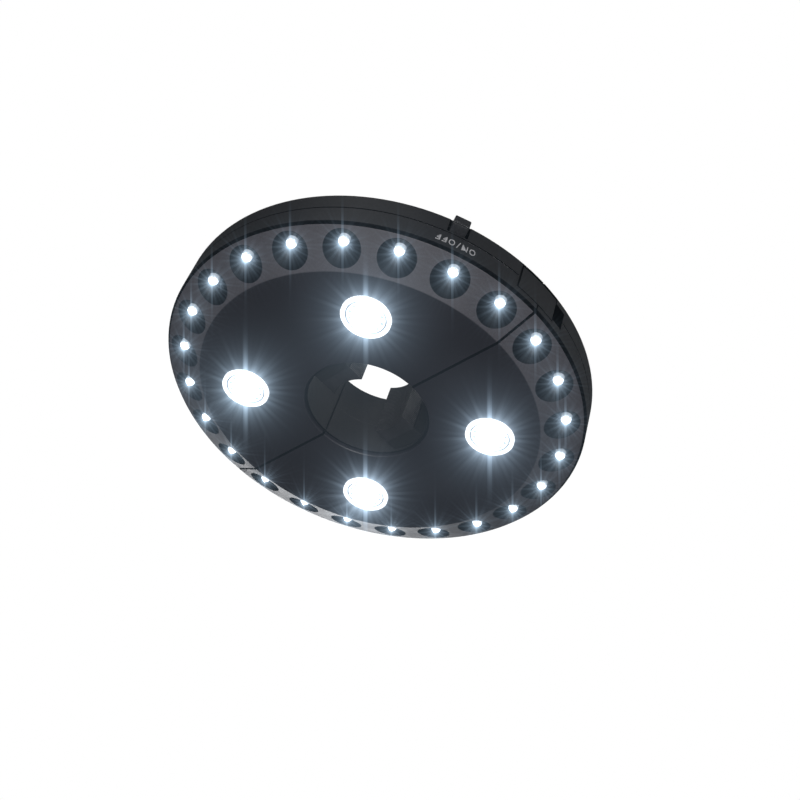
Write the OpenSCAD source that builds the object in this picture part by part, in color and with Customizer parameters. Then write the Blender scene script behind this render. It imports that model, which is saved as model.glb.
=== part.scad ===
// Umbrella pole light: two half discs, hinged at -X and latched at +X, that clamp round a pole.
// Origin: pole axis at the height of the seam between the lower and the upper shells. +Z points up
// along the pole, the light face looks down. Half A is the -Y half, half B the +Y half.

/* [Case] */
// Outer radius of the round case
case_r = 101; // [100:0.5:106]
// Depth of the light face below the seam
face_depth = 19; // [18.5:0.5:22]
// Height of the upright side wall above the seam
side_h = 8.5; // [8:0.5:10]
// Radius of the flat top
top_r = 85; // [85:0.5:88]
// Wall thickness of the shells
wall = 2; // [1.8:0.1:2.4]
// Width of the split between the two halves
split_gap = 0.8; // [0.6:0.1:1.2]
// Thickness of the walls along the split
split_wall = 2; // [1.6:0.1:2.2]
// Height of the dark groove between the light face and the side wall
groove_h = 0.9; // [0.6:0.1:1.2]
// Depth of the fine step along the seam
seam_step = 0.6; // [0.4:0.1:0.9]

/* [Light face] */
// Thickness of the light face
face_t = 2; // [1.6:0.1:2.2]
// Width of the sloping rim band
band_w = 18.5; // [17.5:0.1:19.5]
// Height of the sloping rim band
band_h = 8.5; // [8:0.25:9]
// How far the rim edge lies inside the side wall
rim_inset = 1; // [0.6:0.1:1.4]
// Radius of the hole in the light face
face_hole_r = 30; // [29.5:0.25:31]
// Size of the small chamfers on the moulded edges
edge_chamfer = 0.4; // [0.2:0.1:0.6]

/* [Rim lights] */
// Rim lights in each half
leds_per_half = 12; // [10:1:12]
// Radius of a cup's mouth
cup_mouth_r = 8.3; // [7.8:0.1:8.8]
// Depth of a cup
cup_depth = 6; // [5.5:0.25:6.5]
// Wall thickness of a cup
cup_t = 1.2; // [1:0.1:1.4]
// Radius of a round bulb
bulb_r = 2.5; // [2.3:0.1:2.7]
// Height of a bulb's centre above the middle of its cup's mouth
bulb_depth = 4.4; // [4:0.2:5]

/* [Large lights] */
// Distance of a large light's middle from the rim band
light_inset = 22.8; // [21.5:0.1:24.5]
// Radius of a large light's lens
lens_r = 11.4; // [10.8:0.1:12]
// How far a lens stands out of the light face
lens_out = 1.2; // [0.8:0.1:2]
// Width of the flat ring round a lens
lens_ring = 1.9; // [1.5:0.1:2.5]
// Depth of the reflector behind a lens
reflector_h = 7.3; // [6.5:0.1:7.5]

/* [Pole clamp] */
// Radius of the pole that is clamped at rest
pole_r = 16.5; // [15:0.5:18]
// Radius of the collar inside the hole
collar_r = 29; // [28.5:0.25:29.5]
// Half the width of a jaw
jaw_half_w = 9.2; // [8.5:0.1:9.5]
// How far a jaw ends short of the light face and of the flat top
jaw_end = 4; // [4:0.25:5]
// Distance from the pole axis to the joint between shoe and slide
shoe_back = 22.4; // [22:0.2:23.5]
// Distance from the pole axis to the back of a slide
jaw_back = 38.2; // [38:0.2:38.6]
// Travel of a jaw away from the pole axis
jaw_out = 6.5; // [5:0.5:6.5]

/* [Batteries] */
// Radius of an AA cell
cell_r = 7.25; // [7.15:0.05:7.25]
// Length of an AA cell
cell_len = 50.5; // [49.5:0.5:50.5]
// Length of a coil spring in its bay
spring_len = 6.9; // [6:0.1:7]
// Thickness of a battery door
door_t = 1.8; // [1.6:0.1:2]
// Gap between the cells and the doors
cell_headroom = 1.1; // [0.8:0.1:2]

/* [Hinge] */
// How far the hinge pin lies inside the side wall
hinge_in = 4.5; // [4.25:0.25:4.75]
// How far the hinge pin lies inside half A
hinge_y = 1.2; // [1.1:0.1:1.3]
// Radius of a hinge knuckle
knuckle_r = 3.2; // [3:0.1:3.2]
// Height of the middle knuckle
knuckle_h = 8; // [7:0.5:9]
// Radius of the hinge pin
hinge_pin_r = 1.2; // [1:0.1:1.5]

/* [Latch and button] */
// Height of the latch lever
latch_h = 13.8; // [13:0.2:14]
// Height of the latch lever's lower edge above that of the side wall
latch_rise = 3.4; // [3.3:0.1:3.6]
// Thickness of the latch lever
latch_t = 2.3; // [2:0.1:2.4]
// Radius of the latch lever's barrel
latch_barrel_r = 2.1; // [1.9:0.1:2.2]
// Radius of the latch pin
latch_pin_r = 0.9; // [0.8:0.1:1]
// Width of the push button
button_w = 7.2; // [6.5:0.1:7.5]
// Height of the push button
button_h = 5.4; // [5:0.1:5.6]
// How far the push button stands out of the side wall
button_out = 3; // [2.5:0.5:4]

/* [Hooks] */
// Radius of a hook's eye
hook_eye_r = 5; // [4.5:0.25:5.25]
// Width of a hook's arm
hook_w = 3; // [2.5:0.25:3]
// Thickness of a hook
hook_t = 3.4; // [3:0.1:3.6]

/* [Fits] */
// Gap between parts that move past each other
clear = 0.3; // [0.25:0.05:0.35]
// Gap round parts that are fixed in a seat
seat = 0.1; // [0.05:0.05:0.15]
// Radial gap of a pin that turns or slides in a hole
run_fit = 0.05; // [0.03:0.01:0.08]

/* [Hidden] */
$fn = 96;
eps = 0.02;

// Case heights and radii
z_face = -face_depth;
z_rim = z_face + band_h;
z_wall = z_rim + groove_h;
rim_r = case_r - rim_inset;
plate_r = rim_r - band_w;
bay_floor = 1.5;
top_height = bay_floor + seat + 2 * cell_r + cell_headroom + door_t;
band_angle = atan2(band_h, rim_r - plate_r);
plate_in_r = plate_r - face_t * tan(band_angle / 2);
rim_in_r = plate_in_r + (band_h - face_t) / tan(band_angle);
flange_inset = 1.2;
flange_gap = 0.5;
flange_r = rim_r - flange_inset;
flange_in_r = rim_in_r + flange_gap;
flange_t = 2;
lip_t = 1.1;
lip_h = 2;
shoulder_run = 4;
shoulder_steps = 5;
inner_z = z_face + face_t;
ceiling_z = top_height - wall;
collar_out_r = collar_r + wall;

// Rim lights: angles from the +X end of the split; each bulb hangs upright through the top of its cup
led_step = 180 / leds_per_half;
band_mid_r = (plate_r + rim_r) / 2;
band_mid_z = (z_face + z_rim) / 2;
cup_r = (cup_mouth_r * cup_mouth_r + cup_depth * cup_depth) / (2 * cup_depth);
cup_out_r = cup_r + cup_t;
cup_ball_drop = cup_r - cup_depth;
cup_ball_z = band_mid_z - cup_ball_drop * cos(band_angle);
bulb_ring_r = band_mid_r + cup_ball_drop * sin(band_angle);
bulb_z = band_mid_z + bulb_depth;
bulb_hole_r = bulb_r + seat;
led_flange_w = 0.4;
led_flange_r = bulb_r + led_flange_w;
led_flange_t = 1;
led_flange_z = cup_ball_z + sqrt(cup_out_r * cup_out_r - bulb_hole_r * bulb_hole_r) + eps;
lead_w = 0.5;
lead_gap = 2.54;
ring_board_t = 1.6;
ring_board_w = 9;
ring_board_rise = 9.65;
ring_board_z = band_mid_z + ring_board_rise;
ring_lead_out = 0.6;
ring_board_edge = 2;
ring_board_r = bulb_ring_r + ring_board_edge - ring_board_w / 2;
ring_board_trim = 5;
board_post_r = 2;

// Large lights
light_angles = [45, 135];
light_r = plate_r - light_inset;
lens_flange_w = 1.7;
lens_flange_r = lens_r + lens_flange_w;
lens_flange_t = 1.2;
lens_recess = 0.5;
lenslet_r = 1.5;
lenslet_out = 0.3;
lenslet_step = 3.5;
tube_in_r = lens_flange_r + seat;
tube_t = 1.4;
light_board_lap = 0.6;
light_board_r = tube_in_r + light_board_lap;
light_board_t = 1.6;
light_board_z = inner_z + lens_flange_t + reflector_h;
neck_r = 3.2;
reflector_t = 1;
reflector_bulge = 1.2;
chip_r = 2.6;
chip_h = 0.9;
chip_dome_r = 2;

// Pole clamp
jaw_half_h = min(face_depth, top_height) - jaw_end;
jaw_window = jaw_half_w + clear;
stop_reach = 1.6;
chamber_half_w = jaw_window + stop_reach;
chamber_t = 1.6;
chamber_end_gap = 0.4;
chamber_half_h = jaw_half_h + chamber_end_gap;
stop_w = chamber_half_w - jaw_half_w - clear;
stop_t = 1.4;
stop_half_h = 10;
chamber_back = jaw_back + jaw_out + clear;
jaw_spring_r = 3;
jaw_spring_gap = 0.4;
jaw_spring_bore = jaw_spring_r + jaw_spring_gap;
jaw_spring_z = 8;
jaw_spring_depth = 10;
jaw_spring_wire = 0.8;
shoe_peg_r = 2.5;
shoe_peg_len = 3;
shoe_groove_r = 0.6;

// Battery bay in each upper shell
bay_wall = 1.6;
bay_gap = 0.4;
bay_in = chamber_back + bay_wall;
cell_y = [bay_in + bay_gap + cell_r, bay_in + 2 * bay_gap + 3 * cell_r];
bay_out = cell_y[1] + cell_r + bay_gap;
cell_z = bay_floor + seat + cell_r;
contact_t = 0.5;
bay_half = (cell_len + spring_len) / 2 + contact_t;
contact_short = 2.5;
contact_w = 2 * cell_r - contact_short;
coil_wire_r = 0.4;
coil_turns = 4;
coil_steps = 14;
coil_sides = 6;
coil_r = [4.4, 2.4];
nub_r = 2.7;
nub_h = 1.3;
ledge_z = top_height - door_t - clear;
ledge_t = 2.4;
door_lap = [1.8, 0.8];
door_half = bay_half + door_lap[0];
door_out = bay_out + door_lap[1];
door_axis_r = 1.5;
door_axis_y = bay_in;
door_axis_depth = 0.1;
door_axis_z = top_height - door_axis_r - door_axis_depth;
door_gap = 0.4;
journal_r = 0.8;
journal_len = 1.4;
ledge_w = 2;
ledge_in_w = 1;
scoop_r = 7;
scoop_depth = 1;
rib_half_len = 8;
rib_step = 3;
rib_w = 1;
rib_depth = 0.4;

// Hinge: half B turns about this upright axis
hinge_at = [hinge_in - case_r, -hinge_y];
hinge_relief_r = knuckle_r + clear;
hinge_lip_t = 2.1;
hinge_sweep_r = knuckle_r + hinge_lip_t;
hinge_block_t = 1.5;
hinge_block_r = hinge_sweep_r + hinge_block_t;
hinge_open = 60;
lip_start = 140;
lip_angle = 200;
mouth_angle = 214;
knuckle_half = knuckle_h / 2;
hinge_pin_floor = 0.9;
hinge_pin_over = 1;
hinge_pin_lo = z_rim + hinge_pin_floor;
hinge_pin_hi = side_h + hinge_pin_over;

// Latch: the lever turns about an upright pin near its left edge
latch_inset = 0.1;
latch_gap = 0.4;
latch_boss_t = 3.2;
latch_r = case_r - latch_inset;
latch_pin_at_r = latch_r - latch_barrel_r;
latch_pin_angle = -7.1;
latch_at = latch_pin_at_r * [cos(latch_pin_angle), sin(latch_pin_angle)];
latch_end_angle = 5.6;
latch_lo = z_wall + latch_rise;
latch_hi = latch_lo + latch_h;
latch_floor_r = latch_r - latch_t - latch_gap;
latch_boss_r = latch_floor_r - latch_boss_t;
latch_boss_angle = 11.5;
nose_angles = [2.6, 4.4];
nose_r = 1.8;
nose_half_h = 3;
window_end_angle = 9.6;
window_margin = [1.2, 2.2];
window_lo = latch_lo + window_margin[0];
window_hi = latch_hi - window_margin[1];
window_depth = 5;
window_r = case_r - window_depth;
window_wall = 1.4;
latch_pin_floor = 0.8;
latch_pin_over = 0.4;
latch_pin_lo = z_wall + latch_pin_floor;
latch_pin_hi = side_h + latch_pin_over;

// Push button, its switch and the board behind it
button_angle = -25.5;
button_z = 6;
button_travel = 1.5;
button_seat_t = 0.2;
button_room_w = 2.3;
button_back_r = case_r - wall - button_seat_t;
button_pocket_r = button_back_r - button_travel - clear;
button_pocket_w = button_w + button_room_w;
button_pocket_lo = 0.9;
button_groove_w = 0.5;
button_groove_depth = 0.4;
button_groove_drop = 1.2;
button_side_wall = 1.8;
button_pocket_hi = button_z + button_h / 2 + clear;
button_boss_r = button_pocket_r - wall;
shank_w = 5.2;
shank_h = 3.6;
retainer = [1.2, 1.8, 1.2];
shank_out = 1.6;
shank_r = button_boss_r - shank_out;
plunger_r = 1.6;
plunger_len = 6.9;
switch_len = 7.5;
switch_w = 6.4;
plunger_free = 3.4;
switch_r = shank_r - plunger_free;
board_t = 1.6;
board_z = 0.8;
board_len = 23;
board_edge = 1;
board_half_w = 11.5;
board_r = [switch_r - board_edge - board_len, switch_r - board_edge];
board_post_in = 3;
board_post_out_r = 2.2;
chip_block = [5, 8, 1.5];

// Screws that hold a half together, as [x, y] on half A: one beside the control board and one beside
// a large light, and both again on the other side
post_r = 3.4;
boss_r = 4.6;
screw_inset = 9.4;
screw_board_gap = 0.55;
screw_light_gap = 0.2;
screw_light_angle = -67;
screw_by_board = rotated([plate_r - screw_inset, board_half_w + boss_r + screw_board_gap], button_angle);
screw_by_light = polar(light_r, -light_angles[0])
    + polar(light_board_r + post_r + screw_light_gap, screw_light_angle);
screw_spots = [for (p = [screw_by_board, screw_by_light], s = [1, -1]) [s * p[0], p[1]]];
screw_shank_r = 1.45;
screw_head_r = 2.7;
screw_head_h = 2;
screw_seat_z = 4;
screw_len = 13;
slot_len = 3.4;
slot_w = 0.8;
slot_depth = 1;

// Hooks: pivot distance and place on the top, as [x, y] on half A
hook_at = [-38.6, -26];
hook_len = 18.4;
hook_gap = 0.5;
hook_end_gap = [2, 3.6];
hook_side_gap = 1.2;
hook_axis_z = top_height - hook_gap - hook_t / 2;
hook_pocket_z = hook_axis_z - hook_t / 2 - hook_gap;
hook_pocket_x = [hook_at[0] - hook_len - hook_eye_r - hook_w - hook_end_gap[0], hook_at[0] + hook_end_gap[1]];
hook_pocket_half_w = hook_eye_r + hook_w + hook_side_gap;
hook_barrel_r = 1.9;
hook_pin_r = 1;
hook_pin_seat = 1.2;
hook_shank_w = 4.5;
hook_mouth = [22, 78];

function polar(r, a) = r * [cos(a), sin(a)];
function rotated(p, a) = [p[0] * cos(a) - p[1] * sin(a), p[0] * sin(a) + p[1] * cos(a)];

// Corners of a rectangle with chamfered corners, from its half sizes
function chamfered(x, y, c) =
    [[c - x, -y], [x - c, -y], [x, c - y], [x, y - c], [x - c, y], [c - x, y], [-x, y - c], [-x, c - y]];

// Points of the rounded shoulder between side wall and flat top, moved in by an inset
function shoulder(inset) = [
    for (i = [0 : shoulder_steps])
        let (t = i / shoulder_steps, turn = [case_r - shoulder_run, side_h + shoulder_run])
            (1 - t) * (1 - t) * [case_r - inset, side_h]
            + 2 * t * (1 - t) * (turn - 0.7 * inset * [1, 1])
            + t * t * [top_r, top_height - inset]
];

// ---------- plan outlines ----------

module wedge(at, r, a0, a1) {
    mid = (a0 + a1) / 2;
    polygon([at, at + polar(r, a0), at + polar(r / cos((a1 - a0) / 2), mid), at + polar(r, a1)]);
}

module sector(r0, r1, a0, a1) {
    intersection() {
        difference() {
            circle(r1);
            circle(r0);
        }
        wedge([0, 0], 2 * r1, a0, a1);
    }
}

module half_area(b) {
    translate([-2 * case_r, b ? split_gap / 2 : -2 * case_r - split_gap / 2])
        square([4 * case_r, 2 * case_r]);
}

// Notch in the edge of half A where half B turns past it
module hinge_mouth() {
    wedge(hinge_at, 2 * hinge_block_r, lip_start, mouth_angle);
}

// At the height of the light face, half A keeps its knuckle and half B makes room for it
module face_outline(b) {
    difference() {
        half_area(b);
        if (b) knuckle_disc(hinge_relief_r);
        else hinge_mouth();
    }
    if (!b) knuckle_disc(knuckle_r);
}

// At the height of the shells, half B reaches round the knuckle with a lip that turns inside half A
module shell_outline(b) {
    difference() {
        half_area(b);
        if (!b) hinge_mouth();
        if (!b) intersection() {
            knuckle_disc(hinge_sweep_r);
            wedge(hinge_at, 2 * hinge_block_r, lip_start, lip_angle + hinge_open + 2);
        }
    }
    if (b) wedge(hinge_at, 2 * hinge_block_r, lip_start, lip_angle);
}

module knuckle_disc(r) {
    translate(hinge_at) circle(r);
}

// ---------- helpers ----------

module on_half(b) {
    if (b) mirror([0, 1, 0]) children();
    else children();
}

module slab(z0, z1) {
    translate([0, 0, z0]) linear_extrude(z1 - z0) children();
}

module box(lo, hi) {
    translate(lo) cube(hi - lo);
}

// The whole case as one solid of revolution, from the given radius outwards
module case_volume(r_in) {
    rotate_extrude()
        polygon(concat(
            [[r_in, z_face], [plate_r, z_face], [rim_r, z_rim], [rim_r, z_wall], [case_r, z_wall]],
            shoulder(0),
            [[r_in, top_height]]
        ));
}

// The room inside the lower shell, above the light face
module lower_room(r_in) {
    rotate_extrude()
        polygon([
            [r_in, inner_z], [plate_in_r, inner_z], [rim_in_r, z_rim], [flange_r, z_rim],
            [flange_r, z_wall], [case_r - wall / 2, z_wall], [case_r - wall / 2, 0], [r_in, 0]
        ]);
}

// The room inside the upper shell
module upper_room(r_in) {
    rotate_extrude()
        polygon(concat(
            [[r_in, 0], [case_r - wall / 2, 0]],
            shoulder(wall / 2),
            [[r_in, top_height - wall / 2]]
        ));
}

module each_led() {
    for (i = [0 : leds_per_half - 1])
        rotate([0, 0, -led_step * (i + 0.5)]) translate([bulb_ring_r, 0, 0]) children();
}

module cup_balls(r) {
    each_led() translate([0, 0, cup_ball_z]) sphere(r);
}

module at_light(n) {
    rotate([0, 0, -light_angles[n]]) translate([light_r, 0, 0]) children();
}

module each_screw() {
    for (p = screw_spots) translate([p[0], p[1], 0]) children();
}

// Upright post or boss with a hole
module tube(r_out, r_in, z0, z1) {
    translate([0, 0, z0]) difference() {
        cylinder(r = r_out, h = z1 - z0);
        translate([0, 0, -eps]) cylinder(r = r_in, h = z1 - z0 + 2 * eps);
    }
}

// ---------- light face ----------

module face_form() {
    difference() {
        intersection() {
            union() {
                rotate_extrude()
                    polygon([
                        [face_hole_r, z_face + edge_chamfer], [face_hole_r + edge_chamfer, z_face],
                        [plate_r, z_face],
                        [rim_r - edge_chamfer, z_rim - edge_chamfer * (1 + tan(band_angle))],
                        [rim_r, z_rim - edge_chamfer],
                        [rim_r, z_rim], [rim_in_r, z_rim], [plate_in_r, inner_z], [face_hole_r, inner_z]
                    ]);
                cup_balls(cup_out_r);
                for (n = [0, 1]) at_light(n)
                    tube(tube_in_r + tube_t, tube_in_r, z_face + face_t / 2, light_board_z);
                each_screw() tube(post_r, screw_shank_r, z_face + face_t / 2, 0);
                for (a = [30, 90, 150]) rotate([0, 0, -a]) translate([ring_board_r, 0, z_face])
                    cylinder(r = board_post_r, h = ring_board_z - z_face);
            }
            case_volume(face_hole_r);
        }
        cup_balls(cup_r);
        each_led() translate([0, 0, cup_ball_z]) cylinder(r = bulb_hole_r, h = 2 * cup_out_r);
        for (n = [0, 1]) at_light(n) translate([0, 0, z_face - eps])
            cylinder(r = lens_r + seat, h = face_t + 2 * eps);
        each_screw() translate([0, 0, screw_seat_z - screw_len - 1])
            cylinder(r = screw_shank_r, h = 2 * screw_len);
    }
}

module face_panel(b) {
    color("dimgray")
        intersection() {
            on_half(b) face_form();
            slab(z_face - 1, 1) face_outline(b);
        }
}

// ---------- shells ----------

// Walls that both shells have: along the split, round the jaw chamber and round the hinge
module inner_walls(z0, z1) {
    box([-case_r, -split_gap / 2 - split_wall, z0], [case_r, -split_gap / 2, z1]);
    for (s = [-1, 1])
        box([s > 0 ? chamber_half_w : -chamber_half_w - chamber_t, -bay_in, z0],
            [s > 0 ? chamber_half_w + chamber_t : -chamber_half_w, 0, z1]);
    box([-chamber_half_w, -bay_in, z0], [chamber_half_w, -chamber_back, z1]);
}

// Window for a jaw in the collar, and its chamber
module jaw_room() {
    box([-jaw_window, -collar_out_r - 1, -chamber_half_h], [jaw_window, 0, chamber_half_h]);
    box([-chamber_half_w, -chamber_back, -chamber_half_h], [chamber_half_w, -collar_out_r - 1, chamber_half_h]);
}

module lower_form() {
    difference() {
        union() {
            rotate_extrude()
                polygon([
                    [case_r - edge_chamfer, z_wall], [case_r, z_wall + edge_chamfer],
                    [case_r, -seam_step / 2], [case_r - seam_step, -seam_step / 2], [case_r - seam_step, 0],
                    [case_r - wall - seat, 0], [case_r - wall - seat, lip_h],
                    [case_r - wall - seat - lip_t, lip_h], [case_r - wall - seat - lip_t, -lip_h],
                    [case_r - wall, -2 * lip_h], [case_r - wall, z_rim + flange_t],
                    [flange_in_r, z_rim + flange_t], [flange_in_r, z_rim],
                    [flange_r, z_rim], [flange_r, z_wall]
                ]);
            intersection() {
                lower_room(collar_out_r - wall / 2);
                union() {
                    inner_walls(inner_z, 0);
                    box([-chamber_half_w, -bay_in, inner_z], [chamber_half_w, 0, -chamber_half_h]);
                }
            }
            tube(collar_out_r, collar_r, inner_z, 0);
        }
        jaw_room();
        cup_balls(cup_out_r + clear);
    }
}

module bay_block() {
    box([-bay_half - bay_wall, -bay_out - bay_wall, 0], [bay_half + bay_wall, -chamber_back, ledge_z]);
    box([-door_half - ledge_w, -door_out - ledge_w, ledge_z - ledge_t],
        [door_half + ledge_w, -door_axis_y + door_axis_r + door_gap + ledge_in_w, ceiling_z + eps]);
}

module bay_room() {
    box([-bay_half, -bay_out, bay_floor], [bay_half, -bay_in, top_height]);
    box([-door_half - door_gap, -door_out - door_gap, ledge_z],
        [door_half + door_gap, -door_axis_y, top_height + 1]);
    translate([0, -door_axis_y, door_axis_z]) rotate([0, 90, 0])
        cylinder(r = door_axis_r + door_gap, h = 2 * (door_half + door_gap), center = true);
    box([-door_half - door_gap, -door_axis_y - 1, door_axis_z],
        [door_half + door_gap, -door_axis_y + door_axis_r + door_gap, top_height + 1]);
    translate([0, -door_axis_y, door_axis_z]) rotate([0, 90, 0])
        cylinder(r = journal_r + run_fit, h = 2 * (door_half + door_gap + journal_len), center = true);
    translate([0, -door_out - scoop_r / 2, top_height - scoop_depth]) cylinder(r = scoop_r, h = 2);
}

module hook_block() {
    box([hook_pocket_x[0] - bay_wall, hook_at[1] - hook_pocket_half_w - bay_wall, hook_pocket_z - bay_wall],
        [hook_pocket_x[1] + bay_wall, hook_at[1] + hook_pocket_half_w + bay_wall, ceiling_z + eps]);
}

module hook_room() {
    box([hook_pocket_x[0], hook_at[1] - hook_pocket_half_w, hook_pocket_z],
        [hook_pocket_x[1], hook_at[1] + hook_pocket_half_w, top_height + 1]);
    translate([hook_at[0], hook_at[1], hook_axis_z]) rotate([90, 0, 0])
        cylinder(r = hook_pin_r, h = 2 * (hook_pocket_half_w + hook_pin_seat), center = true);
}

module upper_form(b) {
    difference() {
        union() {
            rotate_extrude()
                polygon(concat(
                    [[case_r - wall, 0], [case_r - seam_step, 0]],
                    [[case_r - seam_step, seam_step / 2], [case_r, seam_step / 2]],
                    shoulder(0),
                    [[collar_r, top_height], [collar_r, 0], [collar_out_r, 0], [collar_out_r, ceiling_z]],
                    [for (i = [shoulder_steps : -1 : 0]) shoulder(wall)[i]]
                ));
            intersection() {
                upper_room(collar_out_r - wall / 2);
                union() {
                    difference() {
                        inner_walls(0, ceiling_z + eps);
                        tube(case_r, case_r - wall - 2 * seat - lip_t, -eps, lip_h + seat);
                    }
                    box([-chamber_half_w, -bay_in, chamber_half_h], [chamber_half_w, 0, ceiling_z + eps]);
                    bay_block();
                    each_screw() cylinder(r = boss_r, h = top_height);
                    mirror([b ? 1 : 0, 0, 0]) hook_block();
                }
            }
        }
        jaw_room();
        bay_room();
        mirror([b ? 1 : 0, 0, 0]) hook_room();
        each_screw() {
            translate([0, 0, -eps]) cylinder(r = screw_shank_r + clear, h = top_height);
            translate([0, 0, screw_seat_z]) cylinder(r = screw_head_r + clear, h = top_height);
        }
    }
}

// Solid corner round the hinge, and the knuckles that grow out of it
module hinge_corner(b, z0, z1) {
    slab(z0, z1) intersection() {
        shell_outline(b);
        knuckle_disc(hinge_block_r);
    }
    if (b) slab(max(z0, -knuckle_half), min(z1, knuckle_half)) knuckle_disc(knuckle_r);
    else if (z0 < 0) slab(z0, -knuckle_half - clear) knuckle_disc(knuckle_r);
    else slab(knuckle_half + clear, z1) knuckle_disc(knuckle_r);
}

// What the other half's knuckles need
module hinge_relief(b) {
    if (b) {
        slab(-face_depth, -knuckle_half) knuckle_disc(hinge_relief_r);
        slab(knuckle_half, top_height) knuckle_disc(hinge_relief_r);
    } else {
        slab(-knuckle_half - clear, knuckle_half + clear) knuckle_disc(hinge_relief_r);
    }
}

module hinge_bore(r) {
    translate([hinge_at[0], hinge_at[1], hinge_pin_lo]) cylinder(r = r, h = hinge_pin_hi - hinge_pin_lo);
}

// Thickened wall behind the latch lever
module latch_corner(z0, z1) {
    slab(z0, z1) sector(latch_boss_r, case_r, -latch_boss_angle, latch_boss_angle);
    slab(max(z0, window_lo - window_wall), min(z1, window_hi + window_wall))
        sector(window_r - window_wall, case_r, 0, latch_boss_angle);
}

module latch_room() {
    slab(latch_lo - clear, latch_hi + clear) {
        sector(latch_floor_r, case_r + 2, latch_pin_angle, latch_end_angle + 0.3);
        translate(latch_at) circle(latch_barrel_r + clear);
    }
    slab(-nose_half_h - clear, nose_half_h + clear)
        sector(latch_floor_r - nose_r, latch_floor_r + 1, 0, nose_angles[1] + 0.4);
    slab(window_lo, window_hi) sector(window_r, case_r + 2, latch_end_angle, window_end_angle);
    slab(latch_pin_lo, latch_pin_hi) translate(latch_at) circle(latch_pin_r);
}

module at_button() {
    rotate([0, 0, button_angle]) children();
}

module button_corner() {
    at_button() {
        box([button_boss_r, -button_pocket_w / 2 - button_side_wall, 0],
            [case_r, button_pocket_w / 2 + button_side_wall, button_pocket_hi + button_side_wall]);
        for (s = [-1, 1])
            translate([board_r[0] + board_post_in, s * (board_half_w - board_post_in), board_z + board_t])
                cylinder(r = board_post_out_r, h = top_height - board_z - board_t - wall / 2);
    }
}

module button_room() {
    at_button() {
        box([button_pocket_r, -button_pocket_w / 2, button_pocket_lo],
            [case_r + 2, button_pocket_w / 2, button_pocket_hi]);
        box([button_boss_r - 1, -shank_w / 2 - clear, button_z - shank_h / 2 - clear],
            [button_pocket_r + 1, shank_w / 2 + clear, button_z + shank_h / 2 + clear]);
    }
}

module lower_shell(b) {
    color("darkslategray")
        difference() {
            union() {
                intersection() {
                    on_half(b) lower_form();
                    slab(z_face, lip_h + 1) shell_outline(b);
                }
                intersection() {
                    lower_room(collar_r);
                    union() {
                        hinge_corner(b, inner_z, 0);
                        intersection() {
                            latch_corner(z_wall, 0);
                            slab(z_face, 1) shell_outline(b);
                        }
                    }
                }
            }
            on_half(b) cup_balls(cup_out_r + clear);
            hinge_relief(b);
            hinge_bore(b ? hinge_pin_r + run_fit : hinge_pin_r);
            latch_room();
        }
}

module upper_shell(b) {
    color("darkslategray")
        difference() {
            union() {
                intersection() {
                    on_half(b) upper_form(b);
                    slab(-1, top_height + 1) shell_outline(b);
                }
                intersection() {
                    upper_room(collar_r);
                    union() {
                        difference() {
                            union() {
                                hinge_corner(b, 0, top_height);
                                intersection() {
                                    latch_corner(0, top_height);
                                    slab(-1, top_height) shell_outline(b);
                                }
                                if (!b) button_corner();
                            }
                            tube(case_r, case_r - wall - 2 * seat - lip_t, -eps, lip_h + seat);
                        }
                    }
                }
            }
            hinge_relief(b);
            hinge_bore(b ? hinge_pin_r + run_fit : hinge_pin_r);
            latch_room();
            if (!b) button_room();
        }
}

// ---------- rim lights ----------

module rim_leds(b) {
    lead_len = ring_board_z + ring_board_t + ring_lead_out - led_flange_z;
    color("white") on_half(b) each_led() {
        translate([0, 0, bulb_z]) sphere(bulb_r, $fn = 48);
        translate([0, 0, bulb_z]) cylinder(r = bulb_r, h = led_flange_z + led_flange_t - bulb_z);
        translate([0, 0, led_flange_z]) cylinder(r = led_flange_r, h = led_flange_t);
        for (s = [-1, 1])
            translate([-lead_w / 2, s * lead_gap / 2 - lead_w / 2, led_flange_z])
                cube([lead_w, lead_w, lead_len]);
    }
}

module led_ring_board(b) {
    color("seagreen") on_half(b) difference() {
        slab(ring_board_z, ring_board_z + ring_board_t)
            sector(ring_board_r - ring_board_w / 2, ring_board_r + ring_board_w / 2,
                ring_board_trim - 180, -ring_board_trim);
        each_led() for (s = [-1, 1])
            translate([0, s * lead_gap / 2, ring_board_z - 1]) cylinder(r = lead_w, h = ring_board_t + 2);
    }
}

// ---------- large lights ----------

module big_lens(b, n) {
    color("white") on_half(b) at_light(n) {
        difference() {
            translate([0, 0, z_face - lens_out]) cylinder(r = lens_r, h = lens_out + face_t + eps);
            translate([0, 0, z_face - lens_out - 1]) cylinder(r = lens_r - lens_ring, h = 1 + lens_recess);
        }
        translate([0, 0, inner_z]) cylinder(r = lens_flange_r, h = lens_flange_t);
        translate([0, 0, z_face - lens_out + lens_recess - lenslet_out + lenslet_r]) {
            sphere(lenslet_r, $fn = 48);
            for (ring = [1, 2], k = [0 : 6 * ring - 1])
                rotate([0, 0, 60 * k / ring]) translate([lenslet_step * ring, 0, 0])
                    sphere(lenslet_r, $fn = 48);
        }
    }
}

module reflector(b, n) {
    mouth_r = lens_r - 0.4;
    middle_r = (mouth_r + neck_r) / 2 + reflector_bulge;
    z0 = inner_z + lens_flange_t;
    color("silver") on_half(b) at_light(n) rotate_extrude()
        polygon([
            [mouth_r, z0], [lens_flange_r, z0], [lens_flange_r, z0 + reflector_t],
            [mouth_r + reflector_t, z0 + reflector_t], [middle_r + reflector_t, z0 + reflector_h / 2],
            [neck_r + reflector_t, z0 + reflector_h], [neck_r, z0 + reflector_h],
            [middle_r, z0 + reflector_h / 2]
        ]);
}

module light_board(b, n) {
    color("seagreen") on_half(b) at_light(n) translate([0, 0, light_board_z])
        cylinder(r = light_board_r, h = light_board_t);
}

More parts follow.
